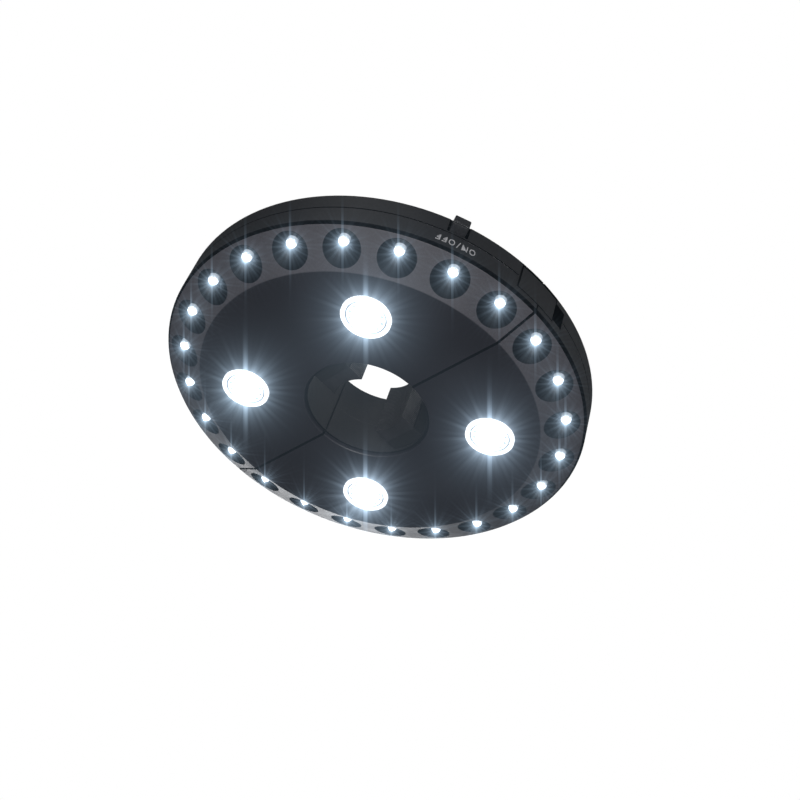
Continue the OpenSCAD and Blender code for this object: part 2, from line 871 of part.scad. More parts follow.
module power_leds(b) {
    color("lightyellow") on_half(b) for (n = [0, 1]) at_light(n) {
        translate([0, 0, light_board_z - chip_h]) cylinder(r = chip_r, h = chip_h);
        intersection() {
            translate([0, 0, light_board_z - chip_h]) sphere(chip_dome_r, $fn = 48);
            translate([0, 0, light_board_z - 2 * chip_r]) cylinder(r = chip_r, h = 2 * chip_r);
        }
    }
}

// ---------- batteries ----------

// A cell in row n, with its positive end towards +X in the inner row and -X in the outer row
module battery(b, n) {
    color("royalblue") on_half(b) translate([0, -cell_y[n], cell_z]) mirror([n, 0, 0])
        translate([bay_half - contact_t - cell_len, 0, 0]) rotate([0, 90, 0]) {
            cylinder(r = cell_r, h = cell_len - nub_h);
            cylinder(r = nub_r, h = cell_len);
        }
}

module battery_contacts(b) {
    color("silver") on_half(b) for (n = [0, 1], s = [-1, 1])
        translate([s * (bay_half - contact_t / 2), -cell_y[n], cell_z])
            cube([contact_t, contact_w, contact_w], center = true);
}

function coil_point(t) =
    let (a = 360 * coil_turns * t, r = coil_r[0] + (coil_r[1] - coil_r[0]) * t)
        [r * cos(a), r * sin(a), coil_wire_r + (spring_len - 2 * coil_wire_r) * t];

// Conical contact spring as one swept wire, standing on the XY plane
module coil() {
    n = coil_turns * coil_steps;
    rings = [
        for (i = [0 : n], k = [0 : coil_sides - 1])
            let (t = i / n, a = 360 * coil_turns * t, u = 360 * k / coil_sides, c = coil_point(t))
                c + coil_wire_r * [cos(u) * cos(a), cos(u) * sin(a), sin(u)]
    ];
    sides = [
        for (i = [0 : n - 1], k = [0 : coil_sides - 1])
            let (p = i * coil_sides + k, q = i * coil_sides + (k + 1) % coil_sides)
                each [[p, p + coil_sides, q + coil_sides], [p, q + coil_sides, q]]
    ];
    caps = [
        [for (k = [0 : coil_sides - 1]) k],
        [for (k = [coil_sides - 1 : -1 : 0]) n * coil_sides + k]
    ];
    polyhedron(rings, concat(sides, caps));
}

module battery_springs(b) {
    color("silver") on_half(b) for (n = [0, 1])
        translate([0, -cell_y[n], cell_z]) mirror([n, 0, 0])
            translate([contact_t - bay_half, 0, 0]) rotate([0, 90, 0]) coil();
}

module battery_door(b) {
    z0 = top_height - door_t;
    color("darkslategray") on_half(b) difference() {
        union() {
            box([-door_half, -door_out, z0], [door_half, -door_axis_y, top_height]);
            translate([0, -door_axis_y, door_axis_z]) rotate([0, 90, 0]) {
                cylinder(r = door_axis_r, h = 2 * door_half, center = true);
                cylinder(r = journal_r, h = 2 * (door_half + door_gap + journal_len - clear), center = true);
            }
        }
        for (s = [-1, 1], k = [-2 : 2])
            translate([s * door_half / 2, k * rib_step - (door_axis_y + door_out) / 2, top_height - rib_depth])
                box([-rib_half_len, -rib_w / 2, 0], [rib_half_len, rib_w / 2, 1]);
    }
}

// ---------- screws ----------

module shell_screws(b) {
    color("silver") on_half(b) each_screw() difference() {
        union() {
            translate([0, 0, screw_seat_z - screw_len]) cylinder(r = screw_shank_r, h = screw_len);
            translate([0, 0, screw_seat_z]) cylinder(r = screw_head_r, h = screw_head_h);
        }
        translate([0, 0, screw_seat_z + screw_head_h]) {
            cube([slot_len, slot_w, 2 * slot_depth], center = true);
            cube([slot_w, slot_len, 2 * slot_depth], center = true);
        }
    }
}

// ---------- pole clamp ----------

module jaw_slide(b) {
    color("dimgray") on_half(b) difference() {
        union() {
            box([-jaw_half_w, -jaw_back, -jaw_half_h], [jaw_half_w, -shoe_back, jaw_half_h]);
            for (s = [-1, 1])
                box([s > 0 ? jaw_half_w - 1 : -jaw_half_w - stop_w, -jaw_back, -stop_half_h],
                    [s > 0 ? jaw_half_w + stop_w : 1 - jaw_half_w, stop_t - jaw_back, stop_half_h]);
        }
        for (s = [-1, 1]) translate([0, -jaw_back - eps, s * jaw_spring_z]) rotate([-90, 0, 0])
            cylinder(r = jaw_spring_bore, h = jaw_spring_depth + eps);
        translate([0, -shoe_back + eps, 0]) rotate([90, 0, 0])
            cylinder(r = shoe_peg_r, h = shoe_peg_len + 0.5);
    }
}

module jaw_shoe(b) {
    color("black") on_half(b) {
        difference() {
            box([-jaw_half_w, -shoe_back, -jaw_half_h], [jaw_half_w, -pole_r / 2, jaw_half_h]);
            cylinder(r = pole_r, h = 4 * jaw_half_h, center = true);
            for (s = [-1, 1]) translate([s * jaw_half_w, -shoe_back, 0])
                cylinder(r = shoe_groove_r, h = 4 * jaw_half_h, center = true);
        }
        translate([0, -shoe_back, 0]) rotate([90, 0, 0]) cylinder(r = shoe_peg_r, h = shoe_peg_len);
    }
}

module jaw_springs(b) {
    len = chamber_back - jaw_back + jaw_spring_depth;
    color("silver") on_half(b) for (s = [-1, 1])
        translate([0, -chamber_back, s * jaw_spring_z]) rotate([-90, 0, 0]) difference() {
            cylinder(r = jaw_spring_r, h = len);
            translate([0, 0, -eps]) cylinder(r = jaw_spring_r - jaw_spring_wire, h = len + 2 * eps);
        }
}

// ---------- hooks ----------

module hook(b) {
    eye = [hook_at[0] - hook_len, hook_at[1]];
    color("dimgray") on_half(b) mirror([b ? 1 : 0, 0, 0]) difference() {
        union() {
            slab(hook_axis_z - hook_t / 2, hook_axis_z + hook_t / 2) difference() {
                union() {
                    translate(eye) circle(hook_eye_r + hook_w);
                    translate([eye[0], eye[1] - hook_shank_w / 2]) square([hook_len, hook_shank_w]);
                }
                translate(eye) circle(hook_eye_r);
                wedge(eye, hook_len / 2, hook_mouth[0], hook_mouth[1]);
            }
            translate([hook_at[0], hook_at[1], hook_axis_z]) rotate([90, 0, 0])
                cylinder(r = hook_barrel_r, h = 2 * (hook_pocket_half_w - 2 * clear), center = true);
        }
        translate([hook_at[0], hook_at[1], hook_axis_z]) rotate([90, 0, 0])
            cylinder(r = hook_pin_r + run_fit, h = 3 * hook_pocket_half_w, center = true);
    }
}

module hook_pin(b) {
    color("silver") on_half(b) mirror([b ? 1 : 0, 0, 0])
        translate([hook_at[0], hook_at[1], hook_axis_z]) rotate([90, 0, 0])
            cylinder(r = hook_pin_r, h = 2 * (hook_pocket_half_w + hook_pin_seat - seat), center = true);
}

// ---------- hinge pin, latch, button ----------

module hinge_pin() {
    color("silver") hinge_bore(hinge_pin_r);
}

module latch_lever() {
    color("darkslategray") difference() {
        union() {
            slab(latch_lo, latch_hi) {
                sector(latch_r - latch_t, latch_r, latch_pin_angle, latch_end_angle);
                translate(latch_at) circle(latch_barrel_r);
            }
            slab(-nose_half_h, nose_half_h)
                sector(latch_floor_r - nose_r + clear, latch_r - latch_t + eps, nose_angles[0], nose_angles[1]);
        }
        slab(latch_lo - 1, latch_hi + 1) translate(latch_at) circle(latch_pin_r + run_fit);
    }
}

module latch_pin() {
    color("silver") slab(latch_pin_lo, latch_pin_hi) translate(latch_at) circle(latch_pin_r);
}

module power_button() {
    color("darkslategray") at_button() {
        difference() {
            translate([button_back_r, 0, button_z]) rotate([90, 0, 90])
                linear_extrude(case_r + button_out - button_back_r)
                    polygon(chamfered(button_w / 2, button_h / 2, edge_chamfer));
            translate([case_r + button_out - button_groove_depth, 0, button_z - button_groove_drop])
                box([0, -button_w, -button_groove_w / 2], [1, button_w, button_groove_w / 2]);
        }
        box([shank_r, -shank_w / 2, button_z - shank_h / 2],
            [button_back_r + 1, shank_w / 2, button_z + shank_h / 2]);
        box([shank_r, -shank_w / 2 - retainer[1], button_z - shank_h / 2 - retainer[2]],
            [shank_r + retainer[0], shank_w / 2 + retainer[1], button_z + shank_h / 2 + retainer[2]]);
    }
}

module switch_plunger() {
    color("black") at_button() translate([shank_r - plunger_len, 0, button_z]) rotate([0, 90, 0])
        cylinder(r = plunger_r, h = plunger_len);
}

module tact_switch() {
    color("dimgray") at_button() difference() {
        box([switch_r - switch_len, -switch_w / 2, board_z + board_t],
            [switch_r, switch_w / 2, button_z + switch_w / 2]);
        translate([shank_r - plunger_len - button_travel - clear, 0, button_z]) rotate([0, 90, 0])
            cylinder(r = plunger_r + run_fit, h = 2 * plunger_len);
    }
}

module control_board() {
    color("seagreen") at_button() {
        box([board_r[0], -board_half_w, board_z], [board_r[1], board_half_w, board_z + board_t]);
        translate([board_r[0] + chip_block[1], -chip_block[1] / 2, board_z + board_t]) cube(chip_block);
    }
}

face_panel(false);  // face_panel_a
face_panel(true);  // face_panel_b
lower_shell(false);  // lower_shell_a
lower_shell(true);  // lower_shell_b
upper_shell(false);  // upper_shell_a
upper_shell(true);  // upper_shell_b
rim_leds(false);  // rim_leds_a
rim_leds(true);  // rim_leds_b
led_ring_board(false);  // led_ring_board_a
led_ring_board(true);  // led_ring_board_b
big_lens(false, 0);  // big_lens_1
big_lens(false, 1);  // big_lens_2
big_lens(true, 0);  // big_lens_3
big_lens(true, 1);  // big_lens_4
reflector(false, 0);  // reflector_1
reflector(false, 1);  // reflector_2
reflector(true, 0);  // reflector_3
reflector(true, 1);  // reflector_4
light_board(false, 0);  // light_board_1
light_board(false, 1);  // light_board_2
light_board(true, 0);  // light_board_3
light_board(true, 1);  // light_board_4
power_leds(false);  // power_leds_a
power_leds(true);  // power_leds_b
battery(false, 0);  // battery_1
battery(false, 1);  // battery_2
battery(true, 0);  // battery_3
battery(true, 1);  // battery_4
battery_springs(false);  // battery_springs_a
battery_springs(true);  // battery_springs_b
battery_contacts(false);  // battery_contacts_a
battery_contacts(true);  // battery_contacts_b
battery_door(false);  // battery_door_a
battery_door(true);  // battery_door_b
shell_screws(false);  // shell_screws_a
shell_screws(true);  // shell_screws_b
jaw_slide(false);  // jaw_slide_a
jaw_slide(true);  // jaw_slide_b
jaw_shoe(false);  // jaw_shoe_a
jaw_shoe(true);  // jaw_shoe_b
jaw_springs(false);  // jaw_springs_a
jaw_springs(true);  // jaw_springs_b
hook(false);  // hook_a
hook(true);  // hook_b
hook_pin(false);  // hook_pin_a
hook_pin(true);  // hook_pin_b
hinge_pin();
latch_lever();
latch_pin();
power_button();
switch_plunger();
tact_switch();
control_board();
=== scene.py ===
"""Looks of the clamp-on parasol light: lit lamps, moulded plastics, printed switch marks.

Lengths are in metres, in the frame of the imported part: pole axis along Z, seam of the case at
z = 0, light face down, half A at -Y, hinge at -X and latch at +X.
"""

import math

import bmesh
import bpy
from mathutils import Matrix, Vector


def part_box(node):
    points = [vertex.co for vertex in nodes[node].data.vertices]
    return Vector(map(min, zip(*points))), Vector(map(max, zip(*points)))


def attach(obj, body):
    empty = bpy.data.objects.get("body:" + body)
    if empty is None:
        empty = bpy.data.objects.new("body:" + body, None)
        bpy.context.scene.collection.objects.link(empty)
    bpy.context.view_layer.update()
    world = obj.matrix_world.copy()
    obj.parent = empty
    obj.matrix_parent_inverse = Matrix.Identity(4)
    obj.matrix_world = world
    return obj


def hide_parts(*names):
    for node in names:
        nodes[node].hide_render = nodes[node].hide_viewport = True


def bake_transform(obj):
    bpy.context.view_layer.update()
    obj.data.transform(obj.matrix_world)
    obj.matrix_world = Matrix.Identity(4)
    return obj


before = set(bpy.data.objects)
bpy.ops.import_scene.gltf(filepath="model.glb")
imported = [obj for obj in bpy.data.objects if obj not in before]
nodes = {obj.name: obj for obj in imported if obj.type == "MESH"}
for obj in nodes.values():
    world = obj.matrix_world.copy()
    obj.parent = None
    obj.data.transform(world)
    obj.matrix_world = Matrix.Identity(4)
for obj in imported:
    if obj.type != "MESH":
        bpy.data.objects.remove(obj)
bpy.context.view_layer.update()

MM = 0.001

# ---------- sizes taken over from the part ----------

CASE_R = 101 * MM  # outside of the side wall
PLATE_R = 81.5 * MM  # edge of the flat light face
RIM_R = 100 * MM  # outer edge of the sloping rim band
FACE_Z = -19 * MM
RIM_Z = -10.5 * MM
WALL_TOP_Z = 8.5 * MM  # where the side wall ends and the shoulder begins
SPLIT_GAP = 0.8 * MM  # between the halves
LATCH_FROM, LATCH_TO = math.radians(-7.1), math.radians(5.6)  # ends of the latch lever
LATCH_LO_Z, LATCH_HI_Z = -6.2 * MM, 7.6 * MM
LEDS = 24
LED_STEP = 2 * math.pi / LEDS
CUP_MOUTH_R = 8.3 * MM
CUP_DEPTH = 6 * MM
LIGHT_R = 58.7 * MM  # from the pole axis to a large light
LENS_R = 11.4 * MM
LENS_RING = 1.9 * MM  # width of a lens's raised ring
LENS_OUT = 1.2 * MM  # how far the ring stands out of the face
LENS_RECESS = 0.5 * MM  # how far the lens's middle lies back from its ring

BAND_TILT = math.atan2(RIM_Z - FACE_Z, RIM_R - PLATE_R)
BAND_MID_R = (PLATE_R + RIM_R) / 2
BAND_MID_Z = (FACE_Z + RIM_Z) / 2
CUP_R = (CUP_MOUTH_R**2 + CUP_DEPTH**2) / (2 * CUP_DEPTH)  # of the ball that a cup is part of
BULB_ALONG = 2.2 * MM  # from the middle of a cup outward along the band to its bulb
BULB_RING_R = BAND_MID_R + (CUP_R - CUP_DEPTH) * math.sin(BAND_TILT)  # circle of the bulbs
BULB_TIP_Z = BAND_MID_Z + 1.9 * MM
LENS_INNER_R = LENS_R - LENS_RING
LENS_FLOOR_Z = FACE_Z - LENS_OUT + LENS_RECESS
LIGHTS = {1: ("a", -45), 2: ("a", -135), 3: ("b", 45), 4: ("b", 135)}  # half and angle of each

# ---------- camera: the photograph's place and angle, from below ----------

PHOTO_PIXELS = 800
FOCAL_PIXELS = 1223.55
SENSOR = 36.0
CAMERA_AT = Vector((0.36293, -0.21473, -0.39997))
CAMERA_RIGHT = Vector((0.69978, 0.67009, 0.24758))
CAMERA_UP = Vector((0.36157, -0.63114, 0.68624))
CLIP_NEAR, CLIP_FAR = 0.01, 60


def make_camera():
    right = CAMERA_RIGHT.normalized()
    back = right.cross(CAMERA_UP).normalized()
    up = back.cross(right)
    turn = Matrix((right, up, back)).transposed().to_4x4()
    data = bpy.data.cameras.new("photo_camera")
    data.sensor_width = SENSOR
    data.lens = SENSOR * FOCAL_PIXELS / PHOTO_PIXELS
    data.clip_start = CLIP_NEAR
    data.clip_end = CLIP_FAR
    cam = bpy.data.objects.new("photo_camera", data)
    cam.matrix_world = Matrix.Translation(CAMERA_AT) @ turn
    bpy.context.collection.objects.link(cam)
    bpy.context.scene.camera = cam


# ---------- material kit ----------

NOISE_SPAN = (0.3, 0.7)  # where most of a noise's values lie
EDGE_SPAN = (0.995, 0.9)  # cosine between true and rounded normal: open surface, sharp edge


class Nodes:
    """A material in the making: its tree, its Principled shader and short calls for nodes."""

    def __init__(self, name):
        self.mat = bpy.data.materials.new(name)
        self.mat.use_nodes = True
        self.tree = self.mat.node_tree
        self.shader = self.tree.nodes["Principled BSDF"]
        self._place = None

    def add(self, kind, inputs=None, **settings):
        node = self.tree.nodes.new("ShaderNode" + kind)
        for key, value in settings.items():
            setattr(node, key, value)
        for key, value in (inputs or {}).items():
            self.set(node.inputs[key], value)
        return node

    def set(self, socket, value):
        if isinstance(value, bpy.types.NodeSocket):
            self.tree.links.new(value, socket)
        else:
            socket.default_value = value

    def put(self, **values):
        """Sets sockets of the Principled shader, with _ for a space in the names."""
        for key, value in values.items():
            self.set(self.shader.inputs[key.replace("_", " ")], value)

    @property
    def place(self):
        if self._place is None:
            self._place = self.add("TexCoord").outputs["Object"]
        return self._place

    def xyz(self, vector=None):
        return self.add("SeparateXYZ", {0: self.place if vector is None else vector}).outputs

    def math(self, kind, a, b=0.0):
        return self.add("Math", {0: a, 1: b}, operation=kind).outputs[0]

    def plus(self, a, b):
        return self.math("ADD", a, b)

    def minus(self, a, b):
        return self.math("SUBTRACT", a, b)

    def times(self, a, b):
        return self.math("MULTIPLY", a, b)

    def length(self, *values):
        total = None
        for value in values:
            square = self.times(value, value)
            total = square if total is None else self.plus(total, square)
        return self.math("SQRT", total)

    def near(self, value, line, width):
        """1 where the value is less than width away from line, else 0."""
        return self.math("LESS_THAN", self.math("ABSOLUTE", self.minus(value, line)), width)

    def ramp(self, value, lo, hi, out_lo=0.0, out_hi=1.0):
        ends = {"From Min": lo, "From Max": hi, "To Min": out_lo, "To Max": out_hi}
        node = self.add("MapRange", {"Value": value, **ends}, interpolation_type="SMOOTHSTEP")
        return node.outputs["Result"]

    def mix(self, share, a, b):
        node = self.add("Mix", {"Factor": share}, data_type="RGBA")
        self.set(node.inputs[6], a)
        self.set(node.inputs[7], b)
        return node.outputs[2]

    def noise(self, size, detail=3.0, rough=0.55, stretch=None, where=None):
        """Soft noise whose blobs are about that size in metres."""
        where = self.place if where is None else where
        if stretch:
            where = self.add("Mapping", {"Vector": where, "Scale": stretch}).outputs[0]
        look = {"Scale": 1 / size, "Detail": detail, "Roughness": rough}
        return self.add("TexNoise", {"Vector": where, **look}).outputs["Fac"]

    def uneven(self, size, low, high, detail=3.0):
        """A value that wanders between low and high."""
        return self.ramp(self.noise(size, detail), *NOISE_SPAN, low, high)

    def bump(self, height, depth, normal=None):
        node = self.add("Bump", {"Height": height, "Distance": depth})
        if normal is not None:
            self.set(node.inputs["Normal"], normal)
        return node.outputs["Normal"]

    def soft_edges(self, radius):
        return self.add("Bevel", {"Radius": radius}, samples=4).outputs["Normal"]

    def edge_share(self, radius):
        """1 on sharp edges, 0 on open surface."""
        true = self.add("NewGeometry").outputs["Normal"]
        both_ways = {0: self.soft_edges(radius), 1: true}
        dot = self.add("VectorMath", both_ways, operation="DOT_PRODUCT")
        return self.ramp(dot.outputs["Value"], *EDGE_SPAN)


def grey(value, blue=0.0):
    return (value * (1 - 0.3 * blue), value, value * (1 + blue), 1)


def shade(color, share):
    return [c * share for c in color[:3]] + [1]


def moulded(name, color, worn, rough, edge=0.25 * MM, rub=0.5):
    """Moulded plastic: spark-eroded grain, cloudy tone, paler rubbed edges, handling marks."""
    n = Nodes(name)
    grain = n.noise(0.35 * MM, 2)
    clouds = n.noise(22 * MM, 4)
    marks = n.ramp(n.noise(5 * MM, 5, 0.7, stretch=(1, 0.25, 1)), 0.58, 0.74)
    tone = n.mix(n.ramp(clouds, *NOISE_SPAN), color, shade(color, 0.82))
    speck = n.mix(n.ramp(grain, 0.35, 0.75, 0, 0.3), tone, worn)
    rubbed = n.times(n.edge_share(edge), rub)
    polish = n.ramp(marks, 0, 1, rough, rough - 0.09)
    n.put(
        Base_Color=n.mix(rubbed, speck, worn),
        Roughness=n.plus(polish, n.ramp(clouds, *NOISE_SPAN, -0.03, 0.04)),
        Normal=n.bump(grain, 0.012 * MM, n.soft_edges(edge)),
        Specular_IOR_Level=0.42,
    )
    return n


# painted shade: near black for the shade in gaps, recesses and under things
PAINTED_GAP_SHADE = (0.0012, 0.0012, 0.0014, 1)
# painted shade for surfaces that face down
PAINTED_UNDERSIDE_SHADE = (0.005, 0.005, 0.006, 1)


def paint_shade(n, mask, color=PAINTED_GAP_SHADE):
    """Paints shade: makes the masked surface nearly black and dull, as the shade in deep gaps
    looks.
    """
    for name, value in (("Base Color", color), ("Roughness", 0.9), ("Specular IOR Level", 0.05)):
        socket = n.shader.inputs[name]
        before = socket.links[0].from_socket if socket.links else socket.default_value
        if name == "Base Color":
            n.set(socket, n.mix(mask, before, value))
        else:
            kept = n.times(n.minus(1.0, mask), before)
            n.set(socket, n.plus(n.times(mask, value), kept))


# painted shade in the seam and the latch's recess behind the side wall
RECESS_SKIN = 0.3 * MM  # what lies deeper than this behind the side wall is in shade
RECESS_DEPTH = 12 * MM
DOWNWARD = -0.6  # Z of the normal of a surface that faces down
# the dark lines round the latch lever are painted shade for its gap
LATCH_LINE = 0.35 * MM  # half width of the dark lines round the latch lever
LATCH_END_LINE = 0.4 * MM


def case_material():
    """The shells: satin black, with painted shade on the seam, in the gaps round the latch and on
    the undersides.
    """
    n = moulded("case_plastic", grey(0.026, 0.1), grey(0.06, 0.08), 0.42, 0.15 * MM, 0.2)
    x, y, z = n.xyz()
    flat = n.length(x, y)
    # painted shade on surfaces deep behind the side wall, below the shoulder
    behind = n.times(
        n.math("LESS_THAN", flat, CASE_R - RECESS_SKIN),
        n.math("GREATER_THAN", flat, CASE_R - RECESS_DEPTH),
    )
    shaded_recess = n.times(behind, n.math("LESS_THAN", z, WALL_TOP_Z - 0.1 * MM))
    # painted shade: every surface of the shells that faces down is made near black
    facing = n.xyz(n.add("TexCoord").outputs["Normal"])[2]
    paint_shade(n, n.math("LESS_THAN", facing, DOWNWARD), PAINTED_UNDERSIDE_SHADE)

    # painted shade lines in the gap round the latch lever
    along = n.times(n.math("ARCTAN2", y, x), CASE_R)
    middle = (LATCH_TO + LATCH_FROM) / 2 * CASE_R
    half_len = (LATCH_TO - LATCH_FROM) / 2 * CASE_R
    z_mid = (LATCH_HI_Z + LATCH_LO_Z) / 2
    half_h = (LATCH_HI_Z - LATCH_LO_Z) / 2
    from_mid = n.math("ABSOLUTE", n.minus(z, z_mid))
    latch_rail_shade = n.times(n.near(from_mid, half_h, LATCH_LINE), n.near(along, middle, half_len))
    end = n.times(
        n.near(along, LATCH_FROM * CASE_R, LATCH_END_LINE), n.near(z, z_mid, half_h)
    )
    outline = n.times(n.math("MAXIMUM", latch_rail_shade, end), n.math("GREATER_THAN", x, 0.0))
    # painted shade in the recesses and round the latch
    paint_shade(n, n.math("MAXIMUM", shaded_recess, outline))
    return n.mat


TURN_OFFSET = 48.0  # keeps the count of the cups above zero on the way round


def led_coordinates(n):
    """A surface point seen from the nearest cup: radius from the pole axis, way out along the
    band, way across it, depth from the band's surface, and the number of the cup."""
    x, y, z = n.xyz()
    turn = n.plus(n.math("DIVIDE", n.math("ARCTAN2", y, x), LED_STEP), TURN_OFFSET)
    which = n.math("FLOOR", turn)
    local = n.times(n.minus(n.math("FRACT", turn), 0.5), LED_STEP)
    flat = n.length(x, y)
    out = n.minus(n.times(flat, n.math("COSINE", local)), BAND_MID_R)
    side = n.times(flat, n.math("SINE", local))
    up = n.minus(z, BAND_MID_Z)
    cos, sin = math.cos(BAND_TILT), math.sin(BAND_TILT)
    along = n.plus(n.times(out, cos), n.times(up, sin))
    deep = n.minus(n.times(up, cos), n.times(out, sin))
    return flat, along, side, deep, which


EDGE_WEAR = (0.1, 0.1, 0.11, 1)
PLATE_DARK, PLATE_PALE = (0.0145, 0.0135, 0.0175, 1), (0.0185, 0.0172, 0.022, 1)
PLATE_GRAIN = (0.03, 0.028, 0.036, 1)
# painted sheen: the band is painted paler than the plate for the lamplight its slope catches
BAND_SHEEN_DARK, BAND_SHEEN_PALE = (0.06, 0.057, 0.066, 1), (0.076, 0.073, 0.083, 1)
BAND_SHEEN_GRAIN = (0.102, 0.098, 0.11, 1)
# the glow colour and the rays below are painted light: the bulb's light and its reflection
# painted into the cups' colour
CUP_DARK, PAINTED_CUP_LIGHT = (0.003, 0.004, 0.006, 1), (0.2, 0.26, 0.33, 1)
RAY_SIZE = 1 / 8.0  # on a circle of radius 1 round the bulb
RAY_REACH = (3.6 * MM, 8.0 * MM)  # of the shortest and the longest ray in a cup


def painted_cup_rays(n, along, side, which):
    """Painted light: uneven rays of the bulb's light and its reflection painted into a cup's wall
    colour, from its bulb outward.
    """
    outward = n.minus(along, BULB_ALONG)
    from_bulb = n.length(outward, side)
    direction = {
        0: n.math("DIVIDE", outward, from_bulb),
        1: n.math("DIVIDE", side, from_bulb),
        2: which,
    }
    rays = n.noise(RAY_SIZE, 3.0, 0.6, where=n.add("CombineXYZ", direction).outputs[0])
    reach = n.ramp(rays, 0.35, 0.68, *RAY_REACH)
    return n.math("POWER", n.ramp(n.math("DIVIDE", from_bulb, reach), 0.2, 1.0, 1.0, 0.0), 1.9)


def face_material():
    """The light face: charcoal plate, sloping band painted paler with the lamps' sheen, glossy
    blue-black cups with painted rays of bulb light.
    """
    n = Nodes("light_face")
    flat, along, side, deep, which = led_coordinates(n)
    ball = n.length(along, side, n.minus(deep, CUP_DEPTH - CUP_R))
    cup = n.ramp(ball, CUP_R + 0.3 * MM, CUP_R + 0.12 * MM)
    open_face = n.minus(1.0, cup)
    band = n.ramp(flat, PLATE_R - 0.2 * MM, PLATE_R + 0.5 * MM)

    grain = n.noise(0.5 * MM, 3, 0.6)
    cloud = n.ramp(n.noise(30 * MM, 3), *NOISE_SPAN)
    plate_tone = n.mix(cloud, PLATE_DARK, PLATE_PALE)
    plate = n.mix(n.ramp(grain, 0.4, 0.7, 0, 0.55), plate_tone, PLATE_GRAIN)
    band_sheen_tone = n.mix(cloud, BAND_SHEEN_DARK, BAND_SHEEN_PALE)
    band_sheen_color = n.mix(n.ramp(grain, 0.4, 0.7, 0, 0.5), band_sheen_tone, BAND_SHEEN_GRAIN)
    body = n.mix(n.times(n.edge_share(0.3 * MM), 0.2), n.mix(band, plate, band_sheen_color), EDGE_WEAR)
    cup_color_with_painted_rays = n.mix(painted_cup_rays(n, along, side, which), CUP_DARK, PAINTED_CUP_LIGHT)
    cloudy = n.times(open_face, n.uneven(14 * MM, -0.05, 0.05, 4))
    n.put(
        Base_Color=n.mix(cup, body, cup_color_with_painted_rays),
        Roughness=n.plus(n.ramp(cup, 0, 1, 0.46, 0.42), cloudy),
        Normal=n.bump(n.times(grain, open_face), 0.02 * MM, n.soft_edges(0.3 * MM)),
        Specular_IOR_Level=n.ramp(cup, 0, 1, 0.4, 0.15),
    )
    # painted shade along the split between the halves and in the groove at the rim
    across = n.math("ABSOLUTE", n.xyz()[1])
    split_gap_shade = n.math("LESS_THAN", across, SPLIT_GAP / 2 + 0.2 * MM)
    paint_shade(n, n.math("MAXIMUM", split_gap_shade, n.math("GREATER_THAN", flat, RIM_R - 0.1 * MM)))
    return n.mat


def lit(name, color, strength):
    """A lit clear plastic: its own light, with a wavy moulded surface."""
    n = Nodes(name)
    pale = [min(1, c) for c in shade(color, 1.04)]
    n.put(
        Base_Color=n.mix(n.noise(1.5 * MM, 2), color, pale),
        Roughness=n.uneven(0.8 * MM, 0.2, 0.32),
        Normal=n.bump(n.noise(1.2 * MM, 2), 0.03 * MM),
        Emission_Color=color,
        Emission_Strength=strength,
    )
    return n.mat


COOL_WHITE = (0.82, 0.91, 1.0, 1)
BULB_HOT, BULB_FAINT = 2.2, 0.12  # emission at the tip, and of the rest


def bulb_material():
    """Clear round bulb: white-hot at its tip, fading and bluer up its sides."""
    n = Nodes("bulb_light")
    up = n.minus(n.xyz()[2], BULB_TIP_Z)
    wave = n.plus(up, n.uneven(1.1 * MM, -0.5 * MM, 0.5 * MM))
    hot = n.math("POWER", n.ramp(wave, 2.6 * MM, 0.6 * MM), 2.0)
    n.put(
        Base_Color=n.mix(n.noise(1.5 * MM, 2), (0.5, 0.58, 0.66, 1), (0.7, 0.78, 0.86, 1)),
        Roughness=n.uneven(0.8 * MM, 0.2, 0.32),
        Normal=n.bump(n.noise(1.2 * MM, 2), 0.03 * MM),
        Emission_Color=COOL_WHITE,
        Emission_Strength=n.plus(n.times(hot, BULB_HOT), BULB_FAINT),
    )
    return n.mat


def metal(name, color, rough):
    """Plain metal with fine streaks and a cloudy tone."""
    n = Nodes(name)
    streaks = n.noise(0.25 * MM, 3, 0.6)
    n.put(
        Base_Color=n.mix(n.ramp(n.noise(4 * MM, 3), *NOISE_SPAN), color, shade(color, 0.8)),
        Metallic=1.0,
        Roughness=n.ramp(streaks, *NOISE_SPAN, rough - 0.06, rough + 0.08),
        Normal=n.bump(streaks, 0.008 * MM, n.soft_edges(0.1 * MM)),
    )
    return n.mat


def board_material():
    """Green circuit board with paler tracks under its lacquer."""
    n = Nodes("circuit_board")
    grid = {"Vector": n.place, "Scale": 1 / (2.2 * MM)}
    cells = n.add("TexVoronoi", grid, distance="CHEBYCHEV")
    tracks = n.ramp(cells.outputs["Distance"], 0.42, 0.46)
    lacquer = n.mix(n.noise(6 * MM), (0.01, 0.09, 0.035, 1), (0.014, 0.12, 0.045, 1))
    n.put(
        Base_Color=n.mix(tracks, lacquer, (0.04, 0.24, 0.08, 1)),
        Roughness=n.uneven(3 * MM, 0.25, 0.4),
        Normal=n.bump(tracks, 0.03 * MM),
    )
    return n.mat


def rubber_material():
    """Soft ribbed shoe of a jaw."""
    n = Nodes("soft_shoe")
    wave = {"Vector": n.place, "Scale": 0.5 / (1.6 * MM)}
    ribs = n.add("TexWave", wave, bands_direction="Z").outputs["Fac"]
    fine = n.noise(0.3 * MM)
    cloud = n.ramp(n.noise(6 * MM), *NOISE_SPAN)
    height = n.plus(ribs, n.times(fine, 0.2))
    n.put(
        Base_Color=n.mix(cloud, (0.012, 0.012, 0.014, 1), (0.022, 0.022, 0.025, 1)),
        Roughness=n.ramp(fine, *NOISE_SPAN, 0.6, 0.8),
        Normal=n.bump(height, 0.15 * MM, n.soft_edges(0.3 * MM)),
    )
    return n.mat


BARE_NUB, BARE_BASE = 2.5 * MM, 0.8 * MM  # bare metal at a cell's two ends
END_FADE = 0.1 * MM


